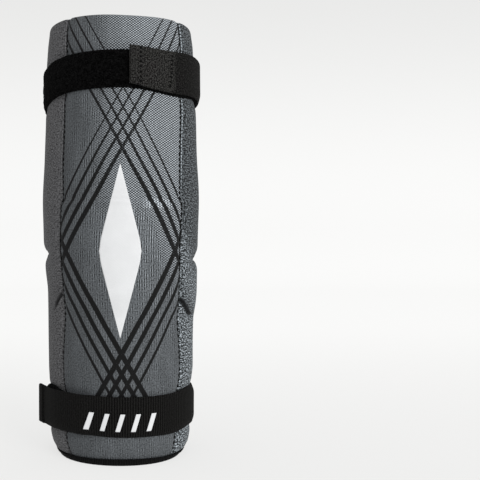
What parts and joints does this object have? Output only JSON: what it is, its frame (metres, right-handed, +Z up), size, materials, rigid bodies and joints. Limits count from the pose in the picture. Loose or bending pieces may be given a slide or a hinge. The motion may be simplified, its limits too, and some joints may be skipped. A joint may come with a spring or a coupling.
{
  "type": "lacrosse arm pad",
  "caption": "Padded sleeve for a forearm and elbow, open at both ends, with hook-and-loop straps near each end.",
  "frame": {"origin": "middle of the outline seen from above, on the plane that the lower rim stands on", "axes": "+Z up along the arm from the bound lower rim to the upper rim, the thick elbow side towards -Y, +X to the right seen from the elbow side"},
  "size_m": [0.1132, 0.0942, 0.2902],
  "materials": {
    "front_knit": "dark grey ribbed knit over foam, with black and white printed figures",
    "side_mesh": "heathered grey stretch mesh",
    "binding": "black woven binding tape",
    "loop_pile": "black fuzzy loop pile of a hook-and-loop strap",
    "elastic": "black woven elastic webbing with stitched ends",
    "stitching": "black thread",
    "print": "white rubbery print"
  },
  "bodies": {
    "root": {"front_panel": "front_knit", "side_and_back_panel": "side_mesh", "lower_binding": "binding", "upper_pile_strap": "loop_pile", "upper_elastic_strap": "elastic", "lower_pile_strap": "loop_pile", "lower_elastic_strap": "elastic"}
  },
  "joints": []
}
